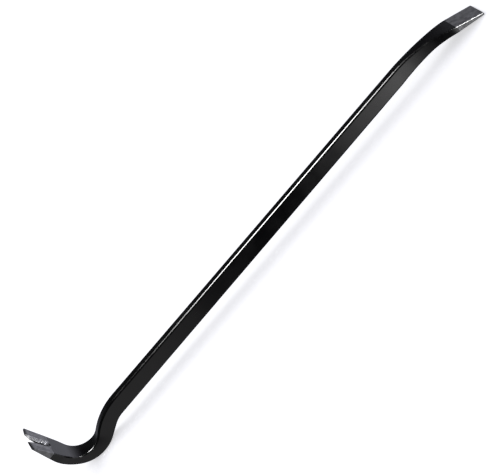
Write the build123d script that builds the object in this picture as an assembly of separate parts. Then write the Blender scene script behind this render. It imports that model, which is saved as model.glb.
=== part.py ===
from build123d import *
from math import asin, atan2, cos, degrees, radians, sin, sqrt, tan
import os

# Deep-section pry bar, forged in one piece from spring steel.
# Units are millimetres. X runs along the shaft from the claw (-X) to the chisel (+X), Y runs across
# the width and Z is up. The bar lies as it would on a bench, on its heel and its chisel tip, with the
# claw hooking upwards, so the bench is the plane z = 0 and the origin is under the middle of the bar.

# ---------------------------------------------------------------- driving dimensions
overall_length = 900.0
claw_back_x = -overall_length / 2
chisel_tip_x = overall_length / 2

# Shaft: a deep rounded rectangle, a little deeper at the heel than at the chisel.
shaft_width = 15.0
shaft_corner = 3.5
shaft_top = 45.8
shaft_underside_at_heel = 16.9
shaft_underside_at_chisel = 18.8
shaft_start_x = -325.0
shaft_end_x = 298.0

# Claw: a tapered plate that leans 13 degrees from the vertical on its inner face.
claw_lean = 13.0
claw_tip_height = 109.0
claw_tip_width = 58.0
claw_mid_height = 80.0
claw_mid_width = 52.0
claw_root_height = 56.0
claw_root_width = 47.0
claw_tip_corner = 0.7
claw_corner = 1.4
claw_root_corner = 2.6
tine_crown = 2.6

# Nail slot: straight through the plate, with a wide bevel on the inner face and a flared mouth.
slot_mouth_half_width = 5.3
slot_root_half_width = 3.0
slot_straight_length = 30.0
bevel_width = 4.0
bevel_depth = 3.6
bevel_root_widening = 1.2
mouth_flare = 3.0
mouth_flare_length = 5.0

# Heel: the inner curve is one arc, the outer curve is a large arc that runs into a smaller one. The
# plate narrows to the shaft round the bend: turn down from level in degrees, width, corner radius.
hook_centre_x = -403.0
hook_radius = 30.0
heel_centre_x = -394.0
heel_radius = 50.0
claw_back_radius = 75.0
heel_stations = (
    (claw_lean, 40.5, 2.4),
    (35.0, 35.0, 2.2),
    (60.0, 30.0, 2.0),
    (80.0, 26.5, 2.2),
    (100.0, 22.5, 2.8),
)
heel_end_width = 17.5

# Gooseneck: the inner curve turns back on a large arc; the underside is a straight ramp and a small
# arc. Its stations give the share of the hook's turn that is left, the underside's x and the width.
gooseneck_radius = 105.0
ramp_angle = 25.5
ramp_radius = 40.0
gooseneck_stations = ((0.6, -352.0, 15.8), (0.28, -336.0, 15.2))

# Chisel: the top bends down on one arc and the underside on another, to a blunt wedge. The neck's
# stations give the place along the bar and the corner radius there.
chisel_top_radius = 270.0
chisel_top_slope = 23.5
chisel_underside_crest = 20.3
chisel_underside_radius = 170.0
chisel_underside_slope = 15.7
chisel_tip_corner = 1.2
blade_plan_corner = 2.0
blade_start_x = 407.0
blade_start_width = 38.4
blade_corner = 1.6
blade_tip_width = 40.6
flare_start_x = 307.0
flare_radius = 380.0
neck_stations = ((330.0, 3.2), (352.0, 2.8), (370.0, 2.4), (388.0, 2.0))

# ---------------------------------------------------------------- worked-out points of the side view
hook_centre_z = shaft_top - gooseneck_radius + sqrt(
    (hook_radius + gooseneck_radius) ** 2 - (shaft_start_x - hook_centre_x) ** 2
)
hook_turn = degrees(asin((shaft_start_x - hook_centre_x) / (hook_radius + gooseneck_radius)))
claw_back_centre_x = claw_back_x + claw_back_radius
claw_back_centre_z = heel_radius + sqrt(
    (claw_back_radius - heel_radius) ** 2 - (claw_back_centre_x - heel_centre_x) ** 2
)
arcs_meet_reach = heel_radius / (claw_back_radius - heel_radius)
arcs_meet_x = heel_centre_x + (heel_centre_x - claw_back_centre_x) * arcs_meet_reach
arcs_meet_z = heel_radius + (heel_radius - claw_back_centre_z) * arcs_meet_reach
arcs_meet_turn = degrees(atan2(hook_centre_z - arcs_meet_z, hook_centre_x - arcs_meet_x))

# The bent zones are lofted a little past their ends and trimmed, so that they run smoothly into
# the straight zones beside them.
guard_length = 18.0


def inner_claw_x(height):
    """The inner face of the claw, a straight line that touches the hook's arc."""
    touch_x = hook_centre_x - hook_radius * cos(radians(claw_lean))
    touch_z = hook_centre_z - hook_radius * sin(radians(claw_lean))
    return touch_x - (height - touch_z) * tan(radians(claw_lean))


def back_claw_x(height):
    """The back of the claw: upright above the large arc's centre, and on that arc below it."""
    drop = max(0.0, claw_back_centre_z - height)
    return claw_back_centre_x - sqrt(claw_back_radius**2 - drop**2)


def reach_to_circle(start, direction, centre, radius):
    """The distance from a point inside a circle to the circle, along a direction."""
    offset = start - centre
    along = offset.dot(direction)
    return -along + sqrt(along**2 - offset.dot(offset) + radius**2)


def section(inner_point, outer_point, width, corner):
    """A rounded rectangle across the bar, standing between its inner and its outer curve."""
    depth_axis = (inner_point - outer_point).normalized()
    across = Vector(0, 1, 0)
    plane = Plane((inner_point + outer_point) * 0.5, x_dir=across, z_dir=across.cross(depth_axis))
    return plane * RectangleRounded(width, (inner_point - outer_point).length, corner)


def claw_section(height, width, corner):
    """A level section of the claw."""
    inner = Vector(inner_claw_x(height), 0, height)
    return section(inner, Vector(back_claw_x(height), 0, height), width, corner)


def hook_section(turn, width, corner):
    """A section through the hook's centre, turned down from level by an angle in degrees."""
    centre = Vector(hook_centre_x, 0, hook_centre_z)
    direction = Vector(-cos(radians(turn)), 0, -sin(radians(turn)))
    if turn < arcs_meet_turn:
        back_centre = Vector(claw_back_centre_x, 0, claw_back_centre_z)
        reach = reach_to_circle(centre, direction, back_centre, claw_back_radius)
    else:
        heel_centre = Vector(heel_centre_x, 0, heel_radius)
        reach = reach_to_circle(centre, direction, heel_centre, heel_radius)
    return section(centre + direction * hook_radius, centre + direction * reach, width, corner)


def underside_at_heel_end(x):
    """The height of the gooseneck's underside: a straight ramp, an arc, and the level shaft."""
    slope = radians(ramp_angle)
    ramp_foot = Vector(
        heel_centre_x + heel_radius * sin(slope), 0, heel_radius * (1 - cos(slope))
    )
    ramp_top_z = shaft_underside_at_heel - ramp_radius * (1 - cos(slope))
    ramp_top_x = ramp_foot.X + (ramp_top_z - ramp_foot.Z) / tan(slope)
    arc_end_x = ramp_top_x + ramp_radius * sin(slope)
    if x < ramp_top_x:
        return ramp_foot.Z + (x - ramp_foot.X) * tan(slope)
    before_end = max(0.0, arc_end_x - x)
    return shaft_underside_at_heel - ramp_radius + sqrt(ramp_radius**2 - before_end**2)


def gooseneck_section(turn, outer_x, width, corner):
    """A section across the gooseneck: a point on its inner arc and the underside at outer_x."""
    inner = Vector(
        shaft_start_x - gooseneck_radius * sin(radians(turn)),
        0,
        shaft_top - gooseneck_radius * (1 - cos(radians(turn))),
    )
    return section(inner, Vector(outer_x, 0, underside_at_heel_end(outer_x)), width, corner)


def upright_section(x, top, underside, width, corner):
    """A section square to X."""
    return section(Vector(x, 0, top), Vector(x, 0, underside), width, corner)


def chisel_top(x):
    """The height of the chisel's top face: an arc that runs into a straight slope."""
    arc_end_x = shaft_end_x + chisel_top_radius * sin(radians(chisel_top_slope))
    on_arc_x = min(x, arc_end_x)
    arc_drop = chisel_top_radius - sqrt(chisel_top_radius**2 - (on_arc_x - shaft_end_x) ** 2)
    return shaft_top - arc_drop - (x - on_arc_x) * tan(radians(chisel_top_slope))


def chisel_underside(x):
    """The height of the chisel's underside: a slight rise, an arc, and a straight slope to the tip."""
    slope = radians(chisel_underside_slope)
    arc_drop = chisel_underside_radius * (1 - cos(slope))
    arc_end_x = chisel_tip_x - (chisel_underside_crest - arc_drop) / tan(slope)
    crest_x = arc_end_x - chisel_underside_radius * sin(slope)
    if x < crest_x:
        rise = chisel_underside_crest - shaft_underside_at_chisel
        run_left = (crest_x - x) / (crest_x - shaft_end_x)
        return chisel_underside_crest - rise * run_left**2
    on_arc_x = min(x, arc_end_x)
    on_arc_z = chisel_underside_crest - chisel_underside_radius + sqrt(
        chisel_underside_radius**2 - (on_arc_x - crest_x) ** 2
    )
    return on_arc_z - (x - on_arc_x) * tan(slope)


def chisel_width(x):
    """The neck flares on an arc, then eases into the nearly parallel blade."""
    return shaft_width + (max(0.0, x - flare_start_x) ** 2) / flare_radius


def shaft_section(x):
    """A section of the shaft, or of the shaft carried on past its end."""
    along = (x - shaft_start_x) / (shaft_end_x - shaft_start_x)
    rise = shaft_underside_at_chisel - shaft_underside_at_heel
    return upright_section(x, shaft_top, shaft_underside_at_heel + rise * along, shaft_width, shaft_corner)


def chisel_section(x, width, corner):
    """A section of the chisel's neck or blade."""
    return upright_section(x, chisel_top(x), chisel_underside(x), width, corner)


def blade_section(x):
    """A section of the blade, whose sides spread slightly towards the tip."""
    along = (x - blade_start_x) / (chisel_tip_x - blade_start_x)
    width = blade_start_width + (blade_tip_width - blade_start_width) * along
    corner = blade_corner + (chisel_tip_corner - blade_corner) * along
    return chisel_section(x, width, corner)


def make_claw_plate():
    """The whole claw plate from its root to its crowned tip, before the nail slot is cut."""
    top = claw_tip_height + tine_crown
    tip_widening = (claw_tip_width - claw_mid_width) / (claw_tip_height - claw_mid_height)
    plate = loft(
        [
            claw_section(claw_root_height, claw_root_width, claw_root_corner),
            claw_section(claw_mid_height, claw_mid_width, claw_corner),
            claw_section(top, claw_tip_width + tine_crown * tip_widening, claw_tip_corner),
        ],
        ruled=True,
    )
    half_width = claw_tip_width / 2
    mouth = slot_mouth_half_width + bevel_width
    overhang = 5.0
    outline = make_face(
        Polyline(
            (-half_width - overhang, 0),
            (-half_width - overhang, claw_tip_height - overhang * tine_crown / (half_width - mouth)),
            (-mouth, top),
            (mouth, top),
            (half_width + overhang, claw_tip_height - overhang * tine_crown / (half_width - mouth)),
            (half_width + overhang, 0),
            close=True,
        )
    )
    crown = extrude(Plane.YZ * outline, amount=overall_length, both=True)
    return plate & crown


def slot_outline(widening):
    """The slot seen square to the inner face, with its mouth towards +Y of the sketch."""
    overrun = 3.0
    above_tip = tine_crown + overrun
    mouth = slot_mouth_half_width + widening
    root = slot_root_half_width + widening * bevel_root_widening
    flare = mouth + mouth_flare * (above_tip + mouth_flare_length) / (tine_crown + mouth_flare_length)
    straight_end = -slot_straight_length
    edge = Line((flare, above_tip), (mouth, -mouth_flare_length))
    edge += Line((mouth, -mouth_flare_length), (root, straight_end))
    edge += ThreePointArc((root, straight_end), (0, straight_end - root), (-root, straight_end))
    edge += Line((-root, straight_end), (-mouth, -mouth_flare_length))
    edge += Line((-mouth, -mouth_flare_length), (-flare, above_tip))
    edge += Line((-flare, above_tip), (flare, above_tip))
    return make_face(edge)


def make_slot_cutter():
    """The nail slot: a straight cut right through, joined to the bevel on the inner face."""
    face_up = Vector(-sin(radians(claw_lean)), 0, cos(radians(claw_lean)))
    face_out = Vector(cos(radians(claw_lean)), 0, sin(radians(claw_lean)))
    tip = Vector(inner_claw_x(claw_tip_height), 0, claw_tip_height)
    across = face_up.cross(face_out)
    inner_face = Plane(tip, x_dir=across, z_dir=face_out)
    cut_reach = 25.0
    clearance = 0.5
    through = extrude(inner_face * slot_outline(0.0), amount=cut_reach, both=True)
    bevel_over = bevel_width * clearance / bevel_depth
    bevel = loft(
        [
            inner_face.offset(clearance) * slot_outline(bevel_width + bevel_over),
            inner_face.offset(-bevel_depth) * slot_outline(0.0),
        ],
        ruled=True,
    )
    return through + bevel


def make_claw():
    """The two tines and the root that joins them, cut apart where the slot's straight sides end."""
    claw = make_claw_plate() - make_slot_cutter()
    level = Plane((0, 0, claw_mid_height))
    root = split(claw, bisect_by=level, keep=Keep.BOTTOM)
    tines = split(claw, bisect_by=level, keep=Keep.TOP).solids().sort_by(Axis.Y)
    return tines[0], tines[-1], root


def claw_share(from_root, from_mid, height):
    """A claw dimension at a height, on the straight taper from the root to the middle."""
    share = (height - claw_root_height) / (claw_mid_height - claw_root_height)
    return from_root + (from_mid - from_root) * share


def make_hook():
    """The heel and the gooseneck in one flowing form, parted where the bend turns back."""
    guard_height = claw_root_height + guard_length
    guard_width = claw_share(claw_root_width, claw_mid_width, guard_height)
    guard_corner = claw_share(claw_root_corner, claw_corner, guard_height)
    sections = [
        claw_section(guard_height, guard_width, guard_corner),
        claw_section(claw_root_height, claw_root_width, claw_root_corner),
    ]
    for turn, width, corner in heel_stations:
        sections.append(hook_section(turn, width, corner))
    sections.append(hook_section(90 + hook_turn, heel_end_width, shaft_corner))
    for share, outer_x, width in gooseneck_stations:
        sections.append(gooseneck_section(hook_turn * share, outer_x, width, shaft_corner))
    sections.append(shaft_section(shaft_start_x))
    sections.append(shaft_section(shaft_start_x + guard_length))
    form = loft(sections)
    form = split(form, bisect_by=Plane((0, 0, claw_root_height)), keep=Keep.BOTTOM)
    form = split(form, bisect_by=Plane((shaft_start_x, 0, 0), z_dir=(1, 0, 0)), keep=Keep.BOTTOM)
    turn = radians(hook_turn)
    hook_centre = (hook_centre_x, 0, hook_centre_z)
    parting = Plane(hook_centre, x_dir=(0, 1, 0), z_dir=(cos(turn), 0, sin(turn)))
    heel = split(form, bisect_by=parting, keep=Keep.BOTTOM)
    gooseneck = split(form, bisect_by=parting, keep=Keep.TOP)
    return heel, gooseneck


def make_shaft():
    """The straight shaft: level on top, with an underside that rises slightly to the chisel."""
    side = make_face(
        Polyline(
            (shaft_start_x, shaft_top),
            (shaft_end_x, shaft_top),
            (shaft_end_x, shaft_underside_at_chisel),
            (shaft_start_x, shaft_underside_at_heel),
            close=True,
        )
    )
    bar = extrude(Plane.XZ * side, amount=shaft_width / 2, both=True)
    long_edges = bar.edges().filter_by(lambda edge: edge.length > shaft_end_x)
    return fillet(long_edges, shaft_corner)


def make_chisel_neck():
    """The bend and flare between the shaft and the blade."""
    sections = [shaft_section(shaft_end_x - guard_length), shaft_section(shaft_end_x)]
    for x, corner in neck_stations:
        sections.append(chisel_section(x, chisel_width(x), corner))
    sections.append(blade_section(blade_start_x))
    sections.append(blade_section(blade_start_x + guard_length))
    form = loft(sections)
    form = split(form, bisect_by=Plane((shaft_end_x, 0, 0), z_dir=(1, 0, 0)), keep=Keep.TOP)
    return split(form, bisect_by=Plane((blade_start_x, 0, 0), z_dir=(1, 0, 0)), keep=Keep.BOTTOM)


def tip_corner_waste(side):
    """What is ground off one corner of the blade's tip to round it, seen from above."""
    overrun = 1.0
    reach = blade_plan_corner + overrun
    centre_x = chisel_tip_x - blade_plan_corner
    centre_y = side * (blade_tip_width / 2 - blade_plan_corner)
    block = Pos(centre_x + reach / 2, centre_y + side * reach / 2) * Rectangle(reach, reach)
    waste = block - Pos(centre_x, centre_y) * Circle(blade_plan_corner)
    return extrude(waste, amount=shaft_top, both=True)


def make_chisel_blade():
    """The blunt wedge, rounded under its tip, where it rests on the bench, and at its two corners."""
    blade = loft([blade_section(blade_start_x), blade_section(chisel_tip_x)], ruled=True)
    tip_edges = blade.edges().filter_by(Axis.Y).group_by(Axis.X)[-1]
    blade = fillet(tip_edges.sort_by(Axis.Z)[0], chisel_tip_corner)
    return blade - tip_corner_waste(-1) - tip_corner_waste(1)


left_tine, right_tine, claw_root = make_claw()
heel, gooseneck = make_hook()
nodes = {
    "left_tine": left_tine,
    "right_tine": right_tine,
    "claw_root": claw_root,
    "heel": heel,
    "gooseneck": gooseneck,
    "shaft": make_shaft(),
    "chisel_neck": make_chisel_neck(),
    "chisel_blade": make_chisel_blade(),
}

os.makedirs("parts", exist_ok=True)
for name, solid in nodes.items():
    export_step(solid, f"parts/{name}.step")
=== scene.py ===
from math import asin, atan2, cos, degrees, pi, radians, sin, sqrt, tan

import bmesh
import bpy
import numpy as np
from mathutils import Matrix, Vector


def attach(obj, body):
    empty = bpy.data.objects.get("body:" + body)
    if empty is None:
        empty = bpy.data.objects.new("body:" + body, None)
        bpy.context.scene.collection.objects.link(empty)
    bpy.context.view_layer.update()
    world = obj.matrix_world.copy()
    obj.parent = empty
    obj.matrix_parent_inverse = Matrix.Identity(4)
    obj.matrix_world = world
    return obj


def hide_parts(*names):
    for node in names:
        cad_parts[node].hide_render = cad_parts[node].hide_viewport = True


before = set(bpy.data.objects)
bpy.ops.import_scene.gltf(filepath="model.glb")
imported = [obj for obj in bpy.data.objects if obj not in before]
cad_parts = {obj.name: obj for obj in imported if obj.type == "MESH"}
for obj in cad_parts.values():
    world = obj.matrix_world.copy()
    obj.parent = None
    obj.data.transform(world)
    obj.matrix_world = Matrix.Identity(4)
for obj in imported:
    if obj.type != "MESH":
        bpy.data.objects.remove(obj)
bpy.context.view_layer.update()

# The shapes below are worked out in millimetres and turned into metres when a mesh is made.
MILLIMETRE = 0.001

# ---------------------------------------------------------------- driving dimensions of the bar
claw_back_x = -450.0
chisel_tip_x = 450.0
shaft_width = 15.0
shaft_corner = 3.5
shaft_top = 45.8
shaft_underside_at_heel = 16.9
shaft_underside_at_chisel = 18.8
shaft_start_x = -325.0
shaft_end_x = 298.0

claw_lean = radians(13.0)
claw_tip_height = 109.0
claw_tip_width = 58.0
claw_mid_height = 80.0
claw_mid_width = 52.0
claw_root_height = 56.0
claw_root_width = 47.0
claw_tip_corner = 0.7
claw_corner = 1.4
claw_root_corner = 2.6
tine_crown = 2.6

slot_mouth_half_width = 5.3
slot_root_half_width = 3.0
slot_straight_length = 30.0
bevel_width = 4.0
bevel_depth = 3.6
bevel_root_widening = 1.2
mouth_flare = 3.0
mouth_flare_length = 5.0

hook_centre_x = -403.0
hook_radius = 30.0
heel_centre_x = -394.0
heel_radius = 50.0
claw_back_radius = 75.0
gooseneck_radius = 105.0
ramp_angle = radians(25.5)
ramp_radius = 40.0

# Stations along the bend: the turn down from level in degrees, the width and the corner radius.
heel_stations = (
    (degrees(claw_lean), 40.5, 2.4),
    (35.0, 35.0, 2.2),
    (60.0, 30.0, 2.0),
    (80.0, 26.5, 2.2),
    (100.0, 22.5, 2.8),
)
heel_end_width = 17.5
# Stations of the gooseneck: the share of the hook's turn that is left, the underside's x and the width.
gooseneck_stations = ((0.6, -352.0, 15.8), (0.28, -336.0, 15.2), (0.0, shaft_start_x, shaft_width))

chisel_top_radius = 270.0
chisel_top_slope = radians(23.5)
chisel_underside_crest = 20.3
chisel_underside_radius = 170.0
chisel_underside_slope = radians(15.7)
blade_start_x = 407.0
blade_start_width = 38.4
blade_tip_width = 40.6
blade_corner = 1.6
blade_tip_corner = 1.2
blade_plan_corner = 2.0
flare_start_x = 307.0
flare_radius = 380.0
# Stations of the chisel's neck: x and the corner radius.
neck_stations = ((330.0, 3.2), (352.0, 2.8), (370.0, 2.4), (388.0, 2.0))

# The ground edges of the claw and the blade are broken by a fraction of a millimetre.
broken_edge = 0.35
blade_heel_rounding = 1.2

# The enamel stops square across the claw and square across the chisel.
claw_paint_height = 73.5
chisel_paint_x = 407.6

# ---------------------------------------------------------------- worked-out points of the side view
hook_centre_z = shaft_top - gooseneck_radius + sqrt(
    (hook_radius + gooseneck_radius) ** 2 - (shaft_start_x - hook_centre_x) ** 2
)
hook_turn = asin((shaft_start_x - hook_centre_x) / (hook_radius + gooseneck_radius))
hook_centre = np.array([hook_centre_x, hook_centre_z])
claw_back_centre = np.array([
    claw_back_x + claw_back_radius,
    heel_radius + sqrt(
        (claw_back_radius - heel_radius) ** 2
        - (claw_back_x + claw_back_radius - heel_centre_x) ** 2
    ),
])
heel_centre = np.array([heel_centre_x, heel_radius])
arcs_meet = heel_centre + (heel_centre - claw_back_centre) * heel_radius / (claw_back_radius - heel_radius)
arcs_meet_turn = atan2(hook_centre[1] - arcs_meet[1], hook_centre[0] - arcs_meet[0])
hook_touch = hook_centre - hook_radius * np.array([cos(claw_lean), sin(claw_lean)])


def inner_claw_x(height):
    """The inner face of the claw, a straight line that touches the hook's arc."""
    return hook_touch[0] - (height - hook_touch[1]) * tan(claw_lean)


def reach_to_circle(start, direction, centre, radius):
    """The distance from a point inside a circle to the circle, along a direction."""
    offset = start - centre
    along = offset @ direction
    return -along + sqrt(along**2 - offset @ offset + radius**2)


def back_claw_x(height):
    """The back of the claw: upright above the large arc's centre, and on that arc below it."""
    drop = max(0.0, claw_back_centre[1] - height)
    return claw_back_centre[0] - sqrt(claw_back_radius**2 - drop**2)


def across_hook(start, turn):
    """The outer point of a section that starts at an inner point and is turned down from level."""
    direction = -np.array([cos(turn), sin(turn)])
    if turn < arcs_meet_turn:
        reach = reach_to_circle(start, direction, claw_back_centre, claw_back_radius)
    else:
        reach = reach_to_circle(start, direction, heel_centre, heel_radius)
    return start + direction * reach


def gooseneck_underside(x):
    """The height of the gooseneck's underside: a straight ramp, an arc, and the level shaft."""
    foot = heel_centre + heel_radius * np.array([sin(ramp_angle), -cos(ramp_angle)])
    ramp_top_z = shaft_underside_at_heel - ramp_radius * (1 - cos(ramp_angle))
    ramp_top_x = foot[0] + (ramp_top_z - foot[1]) / tan(ramp_angle)
    if x < ramp_top_x:
        return foot[1] + (x - foot[0]) * tan(ramp_angle)
    before_end = max(0.0, ramp_top_x + ramp_radius * sin(ramp_angle) - x)
    return shaft_underside_at_heel - ramp_radius + sqrt(ramp_radius**2 - before_end**2)


def chisel_top(x):
    """The height of the chisel's top face: an arc that runs into a straight slope."""
    on_arc_x = min(x, shaft_end_x + chisel_top_radius * sin(chisel_top_slope))
    arc_drop = chisel_top_radius - sqrt(chisel_top_radius**2 - (on_arc_x - shaft_end_x) ** 2)
    return shaft_top - arc_drop - (x - on_arc_x) * tan(chisel_top_slope)


def chisel_underside(x):
    """The height of the chisel's underside: a slight rise, an arc, and a straight slope to the tip."""
    arc_drop = chisel_underside_radius * (1 - cos(chisel_underside_slope))
    arc_end_x = chisel_tip_x - (chisel_underside_crest - arc_drop) / tan(chisel_underside_slope)
    crest_x = arc_end_x - chisel_underside_radius * sin(chisel_underside_slope)
    if x < crest_x:
        rise = chisel_underside_crest - shaft_underside_at_chisel
        return chisel_underside_crest - rise * ((crest_x - x) / (crest_x - shaft_end_x)) ** 2
    on_arc_x = min(x, arc_end_x)
    on_arc_z = chisel_underside_crest - chisel_underside_radius + sqrt(
        chisel_underside_radius**2 - (on_arc_x - crest_x) ** 2
    )
    return on_arc_z - (x - on_arc_x) * tan(chisel_underside_slope)


def blade_half_width(x):
    """Half the blade's width: a slight spread to the tip, whose corners are rounded in plan."""
    along = (x - blade_start_x) / (chisel_tip_x - blade_start_x)
    width = blade_start_width + (blade_tip_width - blade_start_width) * along
    past_corner = max(0.0, x - (chisel_tip_x - blade_plan_corner))
    rounded = blade_plan_corner - sqrt(max(0.0, blade_plan_corner**2 - past_corner**2))
    return width / 2 - rounded


def shaft_underside(x):
    along = (x - shaft_start_x) / (shaft_end_x - shaft_start_x)
    return shaft_underside_at_heel + (shaft_underside_at_chisel - shaft_underside_at_heel) * along


def smooth_through(keys, values, at):
    """A smooth curve through a few key values."""
    keys, values = np.array(keys, float), np.array(values, float)
    slopes = np.gradient(values, keys)
    slopes[0] = slopes[-1] = 0.0
    i = np.clip(np.searchsorted(keys, at) - 1, 0, len(keys) - 2)
    gap = keys[i + 1] - keys[i]
    t = np.clip((at - keys[i]) / gap, 0.0, 1.0)
    start = (1 + 2 * t) * (1 - t) ** 2 * values[i] + t * (1 - t) ** 2 * gap * slopes[i]
    return start + t**2 * (3 - 2 * t) * values[i + 1] + t**2 * (t - 1) * gap * slopes[i + 1]


# ---------------------------------------------------------------- the bar as one run of sections
class Bar:
    """Rounded sections from the claw's root to the chisel's tip, with the zone ends marked."""

    def __init__(self):
        self.inner, self.outer = [], []
        self.keys, self.marks = [], {}

    def add(self, inner, outer, width=None, corner=None, mark=None):
        self.inner.append(np.array(inner, float))
        self.outer.append(np.array(outer, float))
        if width is not None:
            self.keys.append((len(self.inner) - 1, width, corner))
        if mark:
            self.marks[mark] = len(self.inner) - 1


def steps(start, end, length):
    """Evenly spaced values after start, up to and including exactly end."""
    count = max(1, round(abs(end - start) / length))
    return [start + (end - start) * i / count for i in range(1, count)] + [end]


def add_claw_root(bar):
    """The claw's root, from a section a little above it, and the run down to where the hook starts."""
    guard_length = 6.0
    guard_share = guard_length / (claw_mid_height - claw_root_height)
    bar.add(
        (inner_claw_x(claw_root_height + guard_length), claw_root_height + guard_length),
        (back_claw_x(claw_root_height + guard_length), claw_root_height + guard_length),
        claw_root_width + (claw_mid_width - claw_root_width) * guard_share,
        claw_root_corner + (claw_corner - claw_root_corner) * guard_share,
    )
    bar.add(
        (inner_claw_x(claw_root_height), claw_root_height),
        (back_claw_x(claw_root_height), claw_root_height),
        claw_root_width,
        claw_root_corner,
        "claw",
    )
    _, width, corner = heel_stations[0]
    sections_to_hook = 8
    for share in steps(0.0, 1.0, 1.0 / sections_to_hook):
        height = claw_root_height + (hook_touch[1] - claw_root_height) * share
        inner = np.array([inner_claw_x(height), height])
        outer = across_hook(inner, claw_lean * share)
        if share < 1.0:
            bar.add(inner, outer)
        else:
            bar.add(inner, outer, width, corner)


def add_heel(bar):
    """The rocker heel, a fan of sections round the hook's centre."""
    turn_step = 2.5
    heel_end_turn = 90 + degrees(hook_turn)
    turn_from = heel_stations[0][0]
    for turn_to, width, corner in heel_stations[1:] + ((heel_end_turn, heel_end_width, shaft_corner),):
        for turn in steps(turn_from, turn_to, turn_step):
            direction = -np.array([cos(radians(turn)), sin(radians(turn))])
            inner = hook_centre + direction * hook_radius
            outer = across_hook(inner, radians(turn))
            if turn != turn_to:
                bar.add(inner, outer)
            else:
                bar.add(inner, outer, width, corner, "heel" if turn_to == heel_end_turn else None)
        turn_from = turn_to


def add_gooseneck(bar):
    """The bend back to the shaft: an arc on the inside, a ramp and a small arc underneath."""
    share_step = 0.05
    share_from, outer_from = 1.0, bar.outer[-1][0]
    for share_to, outer_to, width in gooseneck_stations:
        for share in steps(share_from, share_to, share_step):
            outer_x = outer_from + (outer_to - outer_from) * (share_from - share) / (share_from - share_to)
            turn = hook_turn * share
            inner = (
                shaft_start_x - gooseneck_radius * sin(turn),
                shaft_top - gooseneck_radius * (1 - cos(turn)),
            )
            outer = (outer_x, gooseneck_underside(outer_x))
            if share != share_to:
                bar.add(inner, outer)
            else:
                bar.add(inner, outer, width, shaft_corner, "gooseneck" if share_to == 0.0 else None)
        share_from, outer_from = share_to, outer_to


def add_shaft(bar):
    section_step = 5.0
    for x in steps(shaft_start_x, shaft_end_x, section_step):
        mark = "shaft" if x == shaft_end_x else None
        bar.add((x, shaft_top), (x, shaft_underside(x)), shaft_width, shaft_corner, mark)


def add_neck(bar):
    """The chisel's bend, where the bar flares from the shaft to the blade."""
    section_step = 2.5
    last_step = 2.0
    x_from = shaft_end_x
    for x_to, corner in neck_stations:
        for x in steps(x_from, x_to, section_step):
            width = shaft_width + max(0.0, x - flare_start_x) ** 2 / flare_radius
            bar.add((x, chisel_top(x)), (x, chisel_underside(x)), width if x == x_to else None, corner)
        x_from = x_to
    for x in steps(x_from, blade_start_x, last_step):
        inner, outer = (x, chisel_top(x)), (x, chisel_underside(x))
        if x != blade_start_x:
            bar.add(inner, outer)
        else:
            bar.add(inner, outer, blade_start_width, blade_corner, "neck")


def add_blade(bar):
    section_step = 2.5
    corner_step = 0.2
    corner_start = chisel_tip_x - blade_plan_corner
    flat_end = chisel_tip_x - blade_heel_rounding
    places = steps(blade_start_x, corner_start, section_step) + steps(corner_start, flat_end, corner_step)
    for x in places:
        along = (x - blade_start_x) / (chisel_tip_x - blade_start_x)
        corner = blade_corner + (blade_tip_corner - blade_corner) * along
        bar.add((x, chisel_top(x)), (x, chisel_underside(x)), 2 * blade_half_width(x), corner)


bar = Bar()
for add_zone in (add_claw_root, add_heel, add_gooseneck, add_shaft, add_neck, add_blade):
    add_zone(bar)
inner_points, outer_points = np.array(bar.inner), np.array(bar.outer)
middle = (inner_points + outer_points) / 2
depth = np.linalg.norm(inner_points - outer_points, axis=1)
depth_axis = (inner_points - outer_points) / depth[:, None]
along_bar = np.concatenate([[0.0], np.cumsum(np.linalg.norm(np.diff(middle, axis=0), axis=1))])
key_places = along_bar[[key[0] for key in bar.keys]]
widths = smooth_through(key_places, [key[1] for key in bar.keys], along_bar)
corners = smooth_through(key_places, [key[2] for key in bar.keys], along_bar)


def section_outline(flats_across, flats_deep, corner_steps):
    """A rounded rectangle's points: the corner centre's signs, the direction from it, and 1 on corners."""
    rows = []
    quarter = pi / 2
    for side, (centre, flats) in enumerate(
        (((1, 1), flats_deep), ((1, -1), flats_across), ((-1, -1), flats_deep), ((-1, 1), flats_across))
    ):
        following = ((1, -1), (-1, -1), (-1, 1), (1, 1))[side]
        for i in range(corner_steps + 1):
            angle = quarter * (1 - side) - quarter * i / corner_steps
            share = i / corner_steps
            rows.append((*centre, cos(angle), sin(angle), sin(pi * share)))
        end_angle = -quarter * side
        for i in range(1, flats):
            share = i / flats
            spot = [a + (b - a) * share for a, b in zip(centre, following)]
            rows.append((*spot, cos(end_angle), sin(end_angle), 0.0))
    return np.array(rows)


def ring_points(outline, width, thickness, corner):
    """Section points across (y) and deep (towards the inner face), for arrays of section sizes."""
    across = np.outer(width / 2 - corner, outline[:, 0]) + np.outer(corner, outline[:, 2])
    deep = np.outer(thickness / 2 - corner, outline[:, 1]) + np.outer(corner, outline[:, 3])
    return across, deep


flats_per_side = 8
steps_per_corner = 7
outline = section_outline(flats_per_side, flats_per_side, steps_per_corner)
across, deep = ring_points(outline, widths, depth, corners)
points = np.stack(
    [
        middle[:, 0, None] + depth_axis[:, 0, None] * deep,
        across,
        middle[:, 1, None] + depth_axis[:, 1, None] * deep,
    ],
    axis=2,
)
skin_out = np.stack(
    [
        depth_axis[:, 0, None] * outline[None, :, 3],
        np.broadcast_to(outline[None, :, 2], across.shape),
        depth_axis[:, 1, None] * outline[None, :, 3],
    ],
    axis=2,
)

# A drop-forged face isn't dead flat: it sinks and rises by a few hundredths of a millimetre.
round_section = np.cumsum(np.linalg.norm(points - np.roll(points, 1, axis=1), axis=2), axis=1)
forged_sink = 0.05
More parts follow.
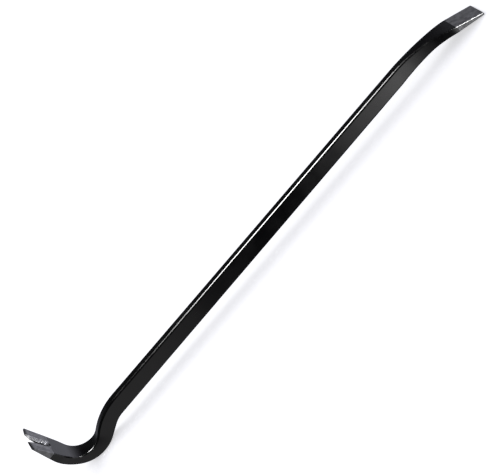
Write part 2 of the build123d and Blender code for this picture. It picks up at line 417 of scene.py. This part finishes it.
# Each wave's share of the sink, its radians per millimetre along and round the bar, and its start.
forged_waves = ((0.22, 0.083, 0.031, 0.0), (0.16, 0.157, -0.052, 1.3), (0.12, 0.291, 0.044, 4.1))
sink = 0.5
for share, along_rate, round_rate, start in forged_waves:
    sink = sink + share * np.sin(along_bar[:, None] * along_rate + round_section * round_rate + start)
sink = forged_sink * sink
points = points - skin_out * sink[:, :, None]


def skin_normals(points, outline, axis):
    """Outward normals of the skin: the run along the bar crossed with the way round the section."""
    run = np.gradient(points, axis=0)
    round_way = np.stack(
        [
            -axis[:, 0, None] * outline[None, :, 2],
            np.broadcast_to(outline[None, :, 3], points.shape[:2]),
            -axis[:, 1, None] * outline[None, :, 2],
        ],
        axis=2,
    )
    normals = np.cross(run, round_way)
    normals /= np.linalg.norm(normals, axis=2)[:, :, None]
    facing = np.sum(normals * skin_out, axis=2)
    return normals * np.sign(facing)[:, :, None]


normals = skin_normals(points, outline, depth_axis)


def add_object(name, data):
    made = bpy.data.objects.new(name, data)
    bpy.context.scene.collection.objects.link(made)
    return made


def sweep_piece(name, first, last, tip_rounding=None):
    """A closed piece of the bar between two sections, with the whole bar's normals on its skin."""
    rings = points[first : last + 1]
    ring_normals = normals[first : last + 1]
    if tip_rounding:
        extra, extra_normals = tip_rounding(rings[-1])
        rings = np.concatenate([rings, extra])
        ring_normals = np.concatenate([ring_normals, extra_normals])
    count, around = rings.shape[:2]
    faces, face_rows = [], []
    for i in range(count - 1):
        for k in range(around):
            n = (k + 1) % around
            faces.append((i * around + k, (i + 1) * around + k, (i + 1) * around + n, i * around + n))
            face_rows.append([(i, k), (i + 1, k), (i + 1, n), (i, n)])
    mesh = bpy.data.meshes.new(name)
    start_cap = tuple(range(around))
    end_cap = tuple(reversed(range((count - 1) * around, count * around)))
    mesh.from_pydata((rings.reshape(-1, 3) * MILLIMETRE).tolist(), [], faces + [start_cap, end_cap])
    start_way = (rings[0] - rings[1]).mean(axis=0)
    end_way = (rings[-1] - rings[-2]).mean(axis=0)
    loops = [ring_normals[i, k] for rows in face_rows for i, k in rows]
    loops += [start_way / np.linalg.norm(start_way)] * around
    loops += [end_way / np.linalg.norm(end_way)] * around
    mesh.polygons.foreach_set("use_smooth", [True] * len(mesh.polygons))
    corner_mark = mesh.attributes.new("corner", "FLOAT", "POINT")
    corner_mark.data.foreach_set("value", np.tile(outline[:, 4], count))
    mesh.normals_split_custom_set([tuple(loop) for loop in loops])
    return add_object(name, mesh)


def blade_tip(ring):
    """The last rings of the blade, which round its end: broadly underneath, finely elsewhere."""
    rounding_turns = (30, 55, 75, 90)
    underside_rise = 0.55 * blade_heel_rounding
    rings, ring_normals = [], []
    x = ring[:, 0].mean()
    top, bottom = chisel_top(x), chisel_underside(x)
    for angle in np.radians(rounding_turns):
        forward, inset = sin(angle), 1 - cos(angle)
        low_x = chisel_tip_x - blade_heel_rounding * (1 - forward)
        high_x = chisel_tip_x - broken_edge * (1 - forward)
        low_z = chisel_underside(low_x) + underside_rise * inset
        high_z = chisel_top(high_x) - broken_edge * inset
        share = (ring[:, 2] - bottom) / (top - bottom)
        new_x = low_x + (high_x - low_x) * share
        spread = np.array([blade_half_width(min(v, chisel_tip_x)) for v in new_x])
        new = np.stack(
            [
                new_x,
                ring[:, 1] * spread / blade_half_width(x),
                low_z + (high_z - low_z) * share,
            ],
            axis=1,
        )
        out = normals[-1] * cos(angle) + np.array([1.0, 0.0, 0.0]) * sin(angle)
        rings.append(new)
        ring_normals.append(out / np.linalg.norm(out, axis=1)[:, None])
    return np.array(rings), np.array(ring_normals)


heel = sweep_piece("heel_enamelled", bar.marks["claw"], bar.marks["heel"])
gooseneck = sweep_piece("gooseneck_enamelled", bar.marks["heel"], bar.marks["gooseneck"])
shaft = sweep_piece("shaft_enamelled", bar.marks["gooseneck"], bar.marks["shaft"])
chisel_neck = sweep_piece("chisel_neck_enamelled", bar.marks["shaft"], bar.marks["neck"])
chisel_blade = sweep_piece("chisel_blade_ground", bar.marks["neck"], len(points) - 1, blade_tip)


# ---------------------------------------------------------------- the claw, cut as the real one is
def ring_mesh(name, rings):
    """A closed mesh through rings of points, in millimetres."""
    rings = np.array(rings)
    count, around = rings.shape[:2]
    faces = [
        (i * around + k, (i + 1) * around + k, (i + 1) * around + n, i * around + n)
        for i in range(count - 1)
        for k, n in zip(range(around), [*range(1, around), 0])
    ]
    faces.append(tuple(range(around)))
    faces.append(tuple(reversed(range((count - 1) * around, count * around))))
    mesh = bpy.data.meshes.new(name)
    mesh.from_pydata((rings.reshape(-1, 3) * MILLIMETRE).tolist(), [], faces)
    work = bmesh.new()
    work.from_mesh(mesh)
    bmesh.ops.recalc_face_normals(work, faces=work.faces)
    work.to_mesh(mesh)
    work.free()
    return add_object(name, mesh)


def claw_plate():
    """The tapered plate in level sections, from its root to above its tip."""
    plain = section_outline(flats_across=1, flats_deep=1, corner_steps=4)
    top = claw_tip_height + tine_crown
    spread = (claw_tip_width - claw_mid_width) / (claw_tip_height - claw_mid_height)
    curved_step = 3.0
    heights = [claw_root_height, *steps(claw_root_height, claw_mid_height, curved_step), top]
    rings = []
    for height in heights:
        if height <= claw_mid_height:
            share = (height - claw_root_height) / (claw_mid_height - claw_root_height)
            width = claw_root_width + (claw_mid_width - claw_root_width) * share
            corner = claw_root_corner + (claw_corner - claw_root_corner) * share
        else:
            width = claw_mid_width + (height - claw_mid_height) * spread
            share = (height - claw_mid_height) / (top - claw_mid_height)
            corner = claw_corner + (claw_tip_corner - claw_corner) * share
        inner, outer = inner_claw_x(height), back_claw_x(height)
        ring_across, ring_deep = ring_points(
            plain, np.array([width]), np.array([inner - outer]), np.array([corner])
        )
        rings.append(
            [((inner + outer) / 2 + d, y, height) for y, d in zip(ring_across[0], ring_deep[0])]
        )
    return ring_mesh("claw_plate", rings)


def slot_cutter():
    """The nail slot's cutter: straight through the plate, widening to a bevel at the inner face."""
    face_up = np.array([-sin(claw_lean), 0.0, cos(claw_lean)])
    face_out = np.array([cos(claw_lean), 0.0, sin(claw_lean)])
    tip = np.array([inner_claw_x(claw_tip_height), 0.0, claw_tip_height])
    sideways = np.array([0.0, 1.0, 0.0])
    above_tip = tine_crown + 3.0
    reach = 25.0
    clearance = 0.5
    root_points = 19
    front_widening = bevel_width * (1 + clearance / bevel_depth)
    rings = []
    for offset, widening in (
        (reach, front_widening),
        (clearance, front_widening),
        (-bevel_depth, 0.0),
        (-reach, 0.0),
    ):
        mouth = slot_mouth_half_width + widening
        root = slot_root_half_width + widening * bevel_root_widening
        flare = mouth + mouth_flare * (above_tip + mouth_flare_length) / (tine_crown + mouth_flare_length)
        flat = [(flare, above_tip), (mouth, -mouth_flare_length)]
        for angle in np.linspace(0.0, pi, root_points):
            flat.append((root * cos(angle), -slot_straight_length - root * sin(angle)))
        flat += [(-mouth, -mouth_flare_length), (-flare, above_tip)]
        rings.append([tip + sideways * a + face_up * b + face_out * offset for a, b in flat])
    return ring_mesh("slot_cutter", rings)


def cut_by_plane(work, place, away):
    """Cuts off what lies beyond a plane and closes the cut."""
    cut = bmesh.ops.bisect_plane(
        work,
        geom=work.verts[:] + work.edges[:] + work.faces[:],
        plane_co=Vector(place) * MILLIMETRE,
        plane_no=Vector(away),
        clear_outer=True,
        dist=1e-7,
    )
    rim = [e for e in cut["geom_cut"] if isinstance(e, bmesh.types.BMEdge)]
    bmesh.ops.holes_fill(work, edges=rim)


def make_claw():
    """The claw's root and two tines: the plate with crowned tips, its slot and its broken edges."""
    flat_within = radians(0.4)
    edge_angle = radians(28)
    shading_angle = radians(45)
    root_margin = 0.01
    plate, cutter = claw_plate(), slot_cutter()
    work = bmesh.new()
    work.from_mesh(plate.data)
    crown_run = claw_tip_width / 2 - slot_mouth_half_width - bevel_width
    for side in (-1, 1):
        cut_by_plane(
            work, (0.0, side * claw_tip_width / 2, claw_tip_height), (0.0, side * tine_crown, crown_run)
        )
    work.to_mesh(plate.data)
    work.free()
    cut = plate.modifiers.new("nail_slot", "BOOLEAN")
    cut.operation = "DIFFERENCE"
    cut.solver = "EXACT"
    cut.object = cutter
    bpy.context.view_layer.update()
    mesh = bpy.data.meshes.new_from_object(
        plate.evaluated_get(bpy.context.evaluated_depsgraph_get())
    )
    for tool in (plate, cutter):
        bpy.data.objects.remove(tool)
    work = bmesh.new()
    work.from_mesh(mesh)
    bmesh.ops.remove_doubles(work, verts=work.verts, dist=1e-6)
    bmesh.ops.dissolve_limit(work, angle_limit=flat_within, verts=work.verts, edges=work.edges)
    corner_mark = work.faces.layers.float.new("corner")
    root_edge = (claw_root_height + root_margin) * MILLIMETRE
    sharp = [
        e
        for e in work.edges
        if len(e.link_faces) == 2
        and e.calc_face_angle() > edge_angle
        and not all(v.co.z < root_edge for v in e.verts)
    ]
    rounded = bmesh.ops.bevel(
        work,
        geom=sharp,
        offset=broken_edge * MILLIMETRE,
        offset_type="OFFSET",
        segments=3,
        profile=0.5,
        affect="EDGES",
        clamp_overlap=False,
    )
    bmesh.ops.recalc_face_normals(work, faces=work.faces)
    for face in rounded["faces"]:
        face[corner_mark] = 1.0
    parts = []
    mid_claw, centre = (0, 0, claw_mid_height), (0, 0, 0)
    for name, planes in (
        ("claw_root_ground", [(mid_claw, (0, 0, 1))]),
        ("left_tine_ground", [(mid_claw, (0, 0, -1)), (centre, (0, 1, 0))]),
        ("right_tine_ground", [(mid_claw, (0, 0, -1)), (centre, (0, -1, 0))]),
    ):
        part = work.copy()
        for place, away in planes:
            cut_by_plane(part, place, away)
        part.normal_update()
        for edge in part.edges:
            edge.smooth = edge.calc_face_angle(0.0) < shading_angle
        piece_mesh = bpy.data.meshes.new(name)
        part.to_mesh(piece_mesh)
        part.free()
        piece_mesh.polygons.foreach_set("use_smooth", [True] * len(piece_mesh.polygons))
        piece = add_object(name, piece_mesh)
        weighted = piece.modifiers.new("flat_faces", "WEIGHTED_NORMAL")
        weighted.keep_sharp = True
        weighted.weight = 80  # out of 100: the large flat faces decide the shading
        parts.append(piece)
    work.free()
    return parts


claw_root, left_tine, right_tine = make_claw()


# ---------------------------------------------------------------- looks
class Graph:
    """The node tree of a material, a world or a lamp, with short ways to add to it."""

    def __init__(self, owner):
        owner.use_nodes = True
        self.nodes = owner.node_tree.nodes
        self.links = owner.node_tree.links

    def feed(self, socket, value):
        if isinstance(value, bpy.types.NodeSocket):
            self.links.new(value, socket)
        else:
            socket.default_value = value

    def math(self, operation, first, second=0.0):
        made = self.nodes.new("ShaderNodeMath")
        made.operation = operation
        self.feed(made.inputs[0], first)
        self.feed(made.inputs[1], second)
        return made.outputs[0]

    def ease(self, value, low, high, to_low=0.0, to_high=1.0):
        """A smooth step from one level to another as the value goes from low to high."""
        made = self.nodes.new("ShaderNodeMapRange")
        made.interpolation_type = "SMOOTHSTEP"
        for i, v in enumerate((value, low, high, to_low, to_high)):
            self.feed(made.inputs[i], v)
        return made.outputs[0]

    def mix(self, share, first, second):
        """A mix of colours if either is three numbers, or else of values: linked colours turn grey."""
        made = self.nodes.new("ShaderNodeMix")
        colours = isinstance(first, tuple) or isinstance(second, tuple)
        made.data_type = "RGBA" if colours else "FLOAT"
        a, b, out = (6, 7, 2) if colours else (2, 3, 0)
        self.feed(made.inputs[0], share)
        for index, value in ((a, first), (b, second)):
            self.feed(made.inputs[index], (*value, 1.0) if isinstance(value, tuple) else value)
        return made.outputs[out]

    def grey(self, colour):
        """The brightness of a linked colour."""
        return self.math("ADD", colour, 0.0)

    def split(self, vector):
        """The three components of a vector."""
        made = self.nodes.new("ShaderNodeSeparateXYZ")
        self.links.new(vector, made.inputs[0])
        return made.outputs


class Look(Graph):
    """One node material, built up from object-space patterns (in metres)."""

    def __init__(self, name):
        self.material = bpy.data.materials.new(name)
        super().__init__(self.material)
        self.shader = self.nodes["Principled BSDF"]
        self.place = self.nodes.new("ShaderNodeTexCoord").outputs["Object"]

    def noise(self, features, stretch=(1.0, 1.0, 1.0), detail=3.0, offset=0.0):
        """Noise whose features are about this many metres across, longer along stretched axes."""
        mapping = self.nodes.new("ShaderNodeMapping")
        mapping.inputs["Location"].default_value = (offset, offset * 0.7, -offset)
        mapping.inputs["Scale"].default_value = [1.0 / (features * s) for s in stretch]
        self.links.new(self.place, mapping.inputs["Vector"])
        made = self.nodes.new("ShaderNodeTexNoise")
        made.inputs["Scale"].default_value = 1.0
        made.inputs["Detail"].default_value = detail
        self.links.new(mapping.outputs[0], made.inputs["Vector"])
        return made.outputs[0]

    def mark(self, name):
        made = self.nodes.new("ShaderNodeAttribute")
        made.attribute_name = name
        return made.outputs["Fac"]

    def axis(self, index):
        return self.split(self.place)[index]

    def bump(self, height, distance, strength, under=None):
        made = self.nodes.new("ShaderNodeBump")
        made.inputs["Distance"].default_value = distance
        made.inputs["Strength"].default_value = strength
        self.links.new(height, made.inputs["Height"])
        if under:
            self.links.new(under, made.inputs["Normal"])
        return made.outputs[0]


enamel_black = (0.0026, 0.0026, 0.0034)
enamel_grey = (0.0048, 0.0048, 0.0060)
enamel_dust = (0.014, 0.014, 0.015)
steel_dark = (0.135, 0.136, 0.140)
steel_light = (0.318, 0.320, 0.325)
steel_worn = (0.46, 0.46, 0.47)
# Near black: used for the tines' darkened ends and for the painted shade on the slot's wall.
tip_dark_and_slot_shade = (0.018, 0.018, 0.020)
steel_metallic = 0.62
enamel_roughness = 0.17
steel_roughness = 0.42
refraction = 1.5

# Sizes in the looks, in metres. A noise's offset only keeps it apart from the others.
cloud_size = 0.030
peel_size = 0.0022
rub_width = 0.0011
dust_size = 0.0016
thin_edge_size = 0.006
scale_patch_size = 0.0075
grain_width = 0.00042
pit_size = 0.0013
worn_patch_size = 0.004
paint_wander_size = 0.004
filing_stroke_size = 0.0024
ragged_end_dark_size = 0.0035
surface_relief = 0.00003
enamel_step = 0.00012
filing_depth = 0.0007
paint_line_softness = 0.00025
end_dark_depth = 0.0042
end_dark_raggedness = 0.0022
slot_half_reach = 0.0150
slot_wall_end = 0.0090
polished_from = 0.101
polished_to = 0.088
along_the_bar = (30.0, 1.0, 1.0)


def enamel_finish(look, corner):
    """Colour, roughness and relief of gloss black enamel: clouding, orange peel, dust and rubs."""
    cloud = look.noise(cloud_size, detail=4.0)
    peel = look.noise(peel_size, detail=2.0, offset=3.0)
    rubs = look.noise(rub_width, stretch=along_the_bar, offset=7.0)
    dust = look.ease(look.noise(dust_size, detail=2.0, offset=11.0), 0.68, 0.80)
    colour = look.mix(look.ease(cloud, 0.35, 0.75), enamel_black, enamel_grey)
    colour = look.mix(look.math("MULTIPLY", dust, 0.5), colour, enamel_dust)
    thin_patches = look.ease(look.noise(thin_edge_size, offset=5.0), 0.45, 0.75)
    thin_edge = look.math("MULTIPLY", corner, thin_patches)
    rough = look.ease(cloud, 0.3, 0.7, enamel_roughness - 0.03, enamel_roughness + 0.04)
    rough = look.math("ADD", rough, look.ease(rubs, 0.62, 0.78, 0.0, 0.10))
    rough = look.math("ADD", rough, look.math("MULTIPLY", thin_edge, 0.05))
    return colour, rough, look.math("MULTIPLY", peel, 0.03)


def steel_finish(look, corner, grain):
    """Colour, roughness and relief of dark ground steel: scale, grinding lines, pits, worn edges."""
    scale_patch = look.noise(scale_patch_size, detail=5.0, offset=1.7)
    lines = look.noise(grain_width, stretch=grain, detail=4.0, offset=2.3)
    pits = look.ease(look.noise(pit_size, offset=9.0), 0.30, 0.42)
    colour = look.mix(look.ease(scale_patch, 0.30, 0.70), steel_dark, steel_light)
    colour = look.mix(look.ease(lines, 0.35, 0.75, 0.0, 0.45), colour, steel_light)
    pitted = look.math("MULTIPLY", look.math("SUBTRACT", 1.0, pits), 0.6)
    colour = look.mix(pitted, colour, steel_dark)
    worn_patches = look.ease(look.noise(worn_patch_size, offset=6.0), 0.30, 0.60, 0.35, 1.0)
    worn = look.math("MULTIPLY", corner, worn_patches)
    colour = look.mix(worn, colour, steel_worn)
    rough = look.ease(lines, 0.3, 0.7, steel_roughness - 0.06, steel_roughness + 0.08)
    rough = look.math("SUBTRACT", rough, look.math("MULTIPLY", worn, 0.12))
    return colour, rough, look.math("ADD", lines, pits)


def enamel_look(name):
    """Enamel all over."""
    look = Look(name)
    colour, rough, relief = enamel_finish(look, look.mark("corner"))
    look.feed(look.shader.inputs["Base Color"], look.grey(colour))
    look.feed(look.shader.inputs["Roughness"], rough)
    look.feed(look.shader.inputs["Normal"], look.bump(relief, surface_relief, 0.6))
    look.shader.inputs["IOR"].default_value = refraction
    return look.material


def steel_look(name, grain, zones):
    """Steel where zones says that it is bare, and enamel elsewhere, with a small step between them."""
    look = Look(name)
    corner = look.mark("corner")
    enamel_colour, enamel_rough, enamel_relief = enamel_finish(look, corner)
    steel_colour, steel_rough, steel_relief = steel_finish(look, corner, grain)
    bare, steel_colour, filed = zones(look, steel_colour)
    steel_rough = look.math("SUBTRACT", steel_rough, look.math("MULTIPLY", filed, 0.22))
    look.feed(look.shader.inputs["Base Color"], look.mix(bare, enamel_colour, steel_colour))
    look.feed(look.shader.inputs["Metallic"], look.math("MULTIPLY", bare, steel_metallic))
    look.feed(look.shader.inputs["Roughness"], look.mix(bare, enamel_rough, steel_rough))
    normal = look.bump(look.mix(bare, enamel_relief, steel_relief), surface_relief, 0.6)
    strokes = look.noise(filing_stroke_size, detail=1.0, offset=12.0)
    normal = look.bump(look.math("MULTIPLY", filed, strokes), filing_depth, 1.0, normal)
    normal = look.bump(look.math("SUBTRACT", 1.0, bare), enamel_step, 1.0, normal)
    look.feed(look.shader.inputs["Normal"], normal)
    look.shader.inputs["IOR"].default_value = refraction
    return look.material


def end_dark(look, steel_colour):
    """The tines' ends are darkened to near black for a few millimetres below their tip line, with a ragged
    edge.
    """
    half_width = claw_tip_width / 2
    crown_slope = tine_crown / (half_width - slot_mouth_half_width - bevel_width)
    in_from_side = look.math("SUBTRACT", half_width * MILLIMETRE, look.math("ABSOLUTE", look.axis(1)))
    crown = look.math("MULTIPLY", in_from_side, crown_slope)
    tip_line = look.math("ADD", claw_tip_height * MILLIMETRE, crown)
    below_tip = look.math("SUBTRACT", tip_line, look.axis(2))
    ragged = look.math("MULTIPLY", look.noise(ragged_end_dark_size, offset=8.0), end_dark_raggedness)
    tip_dark = look.ease(look.math("SUBTRACT", below_tip, ragged), 0.0, end_dark_depth, 0.92, 0.0)
    return look.mix(tip_dark, steel_colour, tip_dark_and_slot_shade)


def in_slot(look):
    """How far a point is on the slot's filed bevel, and how far on the wall beneath it, where shade is
    painted.
    """
    x, y, z = look.split(look.place)
    face_offset = hook_touch @ np.array([cos(claw_lean), sin(claw_lean)]) * MILLIMETRE
    reach_x = look.math("MULTIPLY", x, cos(claw_lean))
    reach_z = look.math("MULTIPLY", z, sin(claw_lean))
    below = look.math("SUBTRACT", face_offset, look.math("ADD", reach_x, reach_z))
    near_middle = look.ease(look.math("ABSOLUTE", y), slot_half_reach, slot_half_reach - 0.0005)
    face_margin, edge_softness = 0.0002, 0.0003
    bevel_end = bevel_depth * MILLIMETRE
    wall_start = bevel_end + edge_softness
    past_face = look.ease(below, face_margin, face_margin + edge_softness)
    on_bevel = look.math("MULTIPLY", past_face, look.ease(below, wall_start, bevel_end))
    before_back = look.ease(below, slot_wall_end, slot_wall_end - 0.0010)
    on_wall = look.math("MULTIPLY", look.ease(below, bevel_end, wall_start), before_back)
    return look.math("MULTIPLY", on_bevel, near_middle), look.math("MULTIPLY", on_wall, near_middle)


# Painted shade: the slot's wall beneath the bevel is darkened most of the way to near black, as shade in
# the recess.
def shaded_slot_wall(look, wall, steel_colour):
    return look.mix(look.math("MULTIPLY", wall, 0.8), steel_colour, tip_dark_and_slot_shade)


def wandering(look, distance):
    """A slow sway of a paint line, up to half a distance to each side."""
    sway = look.math("SUBTRACT", look.noise(paint_wander_size, offset=4.0), 0.5)
    return look.math("MULTIPLY", sway, distance)


def tine_zones(look, steel_colour):
    """The tines are bare, with a filed slot that is polished towards its root."""
    filed, wall = in_slot(look)
    steel_colour = look.mix(look.math("MULTIPLY", filed, 0.6), steel_colour, steel_dark)
    steel_colour = shaded_slot_wall(look, wall, steel_colour)
    towards_root = look.ease(look.axis(2), polished_from, polished_to, 0.35, 1.0)
    return 1.0, end_dark(look, steel_colour), look.math("MULTIPLY", filed, towards_root)


def claw_root_zones(look, steel_colour):
    """The claw's root is bare above its paint line."""
    paint_line = look.math("ADD", claw_paint_height * MILLIMETRE, wandering(look, 0.0014))
    above = look.math("SUBTRACT", look.axis(2), paint_line)
    filed, wall = in_slot(look)
    bare = look.ease(above, -paint_line_softness, paint_line_softness)
    return bare, shaded_slot_wall(look, wall, steel_colour), filed


def blade_zones(look, steel_colour):
    """The blade is bare beyond its paint line."""
    paint_line = look.math("ADD", chisel_paint_x * MILLIMETRE, wandering(look, 0.0012))
    beyond = look.math("SUBTRACT", look.axis(0), paint_line)
    return look.ease(beyond, -paint_line_softness, paint_line_softness), steel_colour, 0.0


up_the_claw = (1.0, 1.0, 24.0)
down_the_blade = (24.0, 1.0, 1.0)
enamel = enamel_look("black_enamel")
claw_steel = steel_look("claw_steel", up_the_claw, tine_zones)
claw_edge = steel_look("claw_enamel_edge", up_the_claw, claw_root_zones)
blade_edge = steel_look("chisel_enamel_edge", down_the_blade, blade_zones)

for piece, node, slot, look in (
    (left_tine, "left_tine", "bare_steel", claw_steel),
    (right_tine, "right_tine", "bare_steel", claw_steel),
    (claw_root, "claw_root", "bare_steel", claw_edge),
    (heel, "heel", "black_enamel", enamel),
    (gooseneck, "gooseneck", "black_enamel", enamel),
    (shaft, "shaft", "black_enamel", enamel),
    (chisel_neck, "chisel_neck", "black_enamel", enamel),
    (chisel_blade, "chisel_blade", "bare_steel", blade_edge),
):
    piece.data.materials.append(look)
    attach(piece, "root")
    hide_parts(node)


# ---------------------------------------------------------------- studio
backdrop_glow = 0.55
end_glow = 2.4
room_glow = 0.022
room_tint = (0.94, 0.95, 1.08)
white = (1.0, 1.0, 1.0)
ambient_light = 0.45
floor_lift = 0.56
floor_grey = (0.82, 0.82, 0.82)
floor_reach = 8.0


def make_world():
    """White to the camera and soft grey to the bar, with a pale backdrop low down behind it."""
    world = bpy.data.worlds.new("studio")
    bpy.context.scene.world = world
    graph = Graph(world)
    rays = graph.nodes.new("ShaderNodeLightPath").outputs

    # What the bar's gloss shows depends on the way that a ray leaves the bar, a unit vector.
    x, y, z = graph.split(graph.nodes.new("ShaderNodeTexCoord").outputs["Generated"])
    low_down = graph.ease(z, 0.46, -0.20)
    behind = graph.ease(y, 0.1, 0.55, 0.0, backdrop_glow)
    dimmer_at_claw = graph.ease(x, -0.6, -0.1, 0.55, 1.0)
    backdrop = graph.math("MULTIPLY", graph.math("MULTIPLY", low_down, behind), dimmer_at_claw)
    past_chisel = graph.ease(x, 0.90, 0.98, 0.0, end_glow)
    end_card = graph.math("MULTIPLY", past_chisel, graph.ease(z, 0.5, 0.0))
    glow = graph.math("ADD", graph.math("ADD", backdrop, end_card), room_glow)

    background = graph.nodes["Background"]
    lit = graph.mix(rays["Is Glossy Ray"], ambient_light, glow)
    graph.feed(background.inputs["Strength"], graph.mix(rays["Is Camera Ray"], lit, 1.0))
    graph.feed(background.inputs["Color"], graph.mix(rays["Is Camera Ray"], room_tint, white))
    world.cycles.sampling_method = "NONE"


def make_floor():
    """A pale floor that glows a little, so that it stays near white, and isn't reflected in the bar."""
    mesh = bpy.data.meshes.new("floor")
    corners = [(x * floor_reach, y * floor_reach, 0.0) for x, y in ((-1, -1), (1, -1), (1, 1), (-1, 1))]
    mesh.from_pydata(corners, [], [(0, 1, 2, 3)])
    floor = add_object("floor", mesh)
    paint = bpy.data.materials.new("pale_floor")
    graph = Graph(paint)
    graph.nodes.clear()
    matt = graph.nodes.new("ShaderNodeBsdfDiffuse")
    matt.inputs["Color"].default_value = (*floor_grey, 1.0)
    lift = graph.nodes.new("ShaderNodeEmission")
    lift.inputs["Strength"].default_value = floor_lift
    both = graph.nodes.new("ShaderNodeAddShader")
    output = graph.nodes.new("ShaderNodeOutputMaterial")
    graph.links.new(matt.outputs[0], both.inputs[0])
    graph.links.new(lift.outputs[0], both.inputs[1])
    graph.links.new(both.outputs[0], output.inputs[0])
    mesh.materials.append(paint)
    floor.visible_glossy = False
    floor.visible_diffuse = False
    floor.visible_shadow = False


def fade_lamp(lamp, *ramps):
    """Dims a lamp along its length: each ramp goes from dark to full between two shares of it."""
    graph = Graph(lamp.data)
    along = graph.split(graph.nodes.new("ShaderNodeNewGeometry").outputs["Parametric"])[0]
    strength = 1.0
    for dark_at, full_at in ramps:
        strength = graph.math("MULTIPLY", strength, graph.ease(along, dark_at, full_at))
    graph.feed(graph.nodes["Emission"].inputs["Strength"], strength)


def make_lamp(name, place, target, size, radiance):
    """A rectangular soft lamp that faces its target, and that at first shows only in gloss."""
    data = bpy.data.lights.new(name, "AREA")
    data.shape = "RECTANGLE"
    data.size, data.size_y = size
    data.energy = radiance * pi * size[0] * size[1]
    lamp = add_object(name, data)
    lamp.location = place
    lamp.rotation_mode = "QUATERNION"
    lamp.rotation_quaternion = (Vector(target) - Vector(place)).to_track_quat("-Z", "Y")
    lamp.visible_camera = False
    lamp.visible_diffuse = False
    return lamp


make_world()
make_floor()

# The long strip above draws the bright line along the shaft's upper corner. It lights only the
# enamel: on the ground steel it would burn out, seen from the bar's ends.
strip = make_lamp("strip_above", (0.0, 0.0, 1.50), (0.0, 0.0, 0.0), size=(1.00, 0.92), radiance=58.0)
fade_lamp(strip, (0.0, 0.40), (1.0, 0.65))
enamelled = bpy.data.collections.new("enamelled_pieces")
for piece in (heel, gooseneck, shaft, chisel_neck):
    enamelled.objects.link(piece)
strip.light_linking.receiver_collection = enamelled

# Two cards low down in front grey the near side, at the chisel's end and round the claw.
chisel_card = make_lamp(
    "low_front_card", (0.385, -1.75, -1.05), (0.30, 0.0, 0.03), size=(0.80, 1.10), radiance=2.2
)
fade_lamp(chisel_card, (0.05, 0.75))
claw_card = make_lamp(
    "claw_side_card", (-0.60, -0.86, -0.65), (-0.35, 0.0, 0.03), size=(1.20, 1.20), radiance=0.42
)
fade_lamp(claw_card, (1.0, 0.62), (1.0, 0.62))

# Two cards off to the right make the glints on the heel's corner and on the blade's near edge.
make_lamp("side_card", (0.90, -0.73, 0.42), (-0.40, 0.0, 0.03), size=(0.38, 0.34), radiance=28.0)
make_lamp("right_card", (1.28, -0.70, 1.03), (0.43, 0.0, 0.03), size=(0.90, 0.55), radiance=2.0)

# The key lamp behind and above gives the matt light and the soft shadow.
key = make_lamp("soft_key", (-1.2, 1.0, 2.0), (0.0, 0.0, 0.0), size=(1.6, 1.6), radiance=2.8)
key.visible_diffuse = True
key.visible_glossy = False


# ---------------------------------------------------------------- camera
# The bar is seen from its near side and above, with the camera rolled so that the shaft climbs to the
# upper right.
camera_azimuth = radians(5.114)
camera_elevation = radians(31.688)
camera_roll = radians(-52.098)
camera_distance = 2.1722
camera_lens = 107.11
camera_aim = Vector((-0.0158, 0.0, 0.0440))


def make_camera():
    camera = add_object("camera", bpy.data.cameras.new("camera"))
    forward = Vector((
        -sin(camera_azimuth) * cos(camera_elevation),
        cos(camera_azimuth) * cos(camera_elevation),
        -sin(camera_elevation),
    ))
    level = forward.to_track_quat("-Z", "Y")
    camera.rotation_mode = "QUATERNION"
    camera.rotation_quaternion = level @ Matrix.Rotation(camera_roll, 3, "Z").to_quaternion()
    camera.location = camera_aim - forward * camera_distance
    camera.data.lens = camera_lens
    bpy.context.scene.camera = camera


make_camera()
bpy.context.scene.view_settings.view_transform = "Standard"
